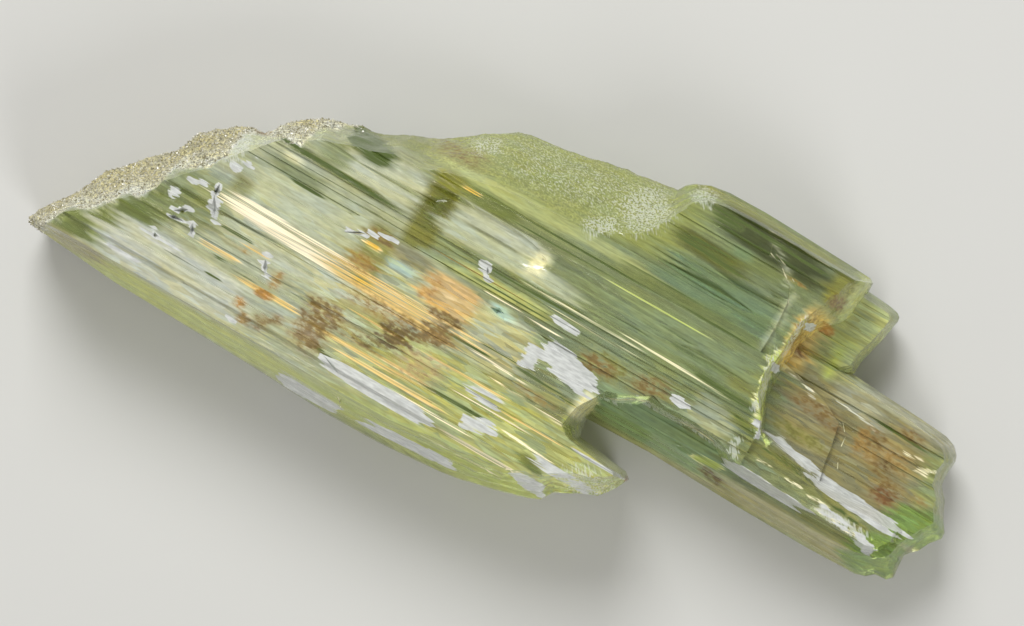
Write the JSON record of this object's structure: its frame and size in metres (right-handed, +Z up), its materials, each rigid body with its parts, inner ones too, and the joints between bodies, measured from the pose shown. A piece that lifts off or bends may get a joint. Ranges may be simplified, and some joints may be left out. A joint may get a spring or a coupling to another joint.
{
  "type": "hiddenite crystal",
  "caption": "Rough pale green gem crystal: a flattened, lengthwise striated blade with an etched upper edge, a pointed front plate and a far end that breaks away in steps.",
  "frame": {"origin": "middle of the crystal's length and width, at its flat underside", "axes": "+X along the crystal's long axis towards the stepped broken end, +Y across the blade towards the etched edge, +Z up through its thickness"},
  "size_m": [0.0476, 0.0198, 0.008],
  "materials": {
    "hiddenite": "clear, natural striated faces with a glassy lustre",
    "etched_face": "etched, sugary and frosted",
    "iron_stain": "thin rusty films and flakes inside the crystal",
    "healed_fracture": "pale veils, tubes and cracks inside the crystal"
  },
  "bodies": {
    "root": {"crystal": "hiddenite"}
  },
  "joints": []
}
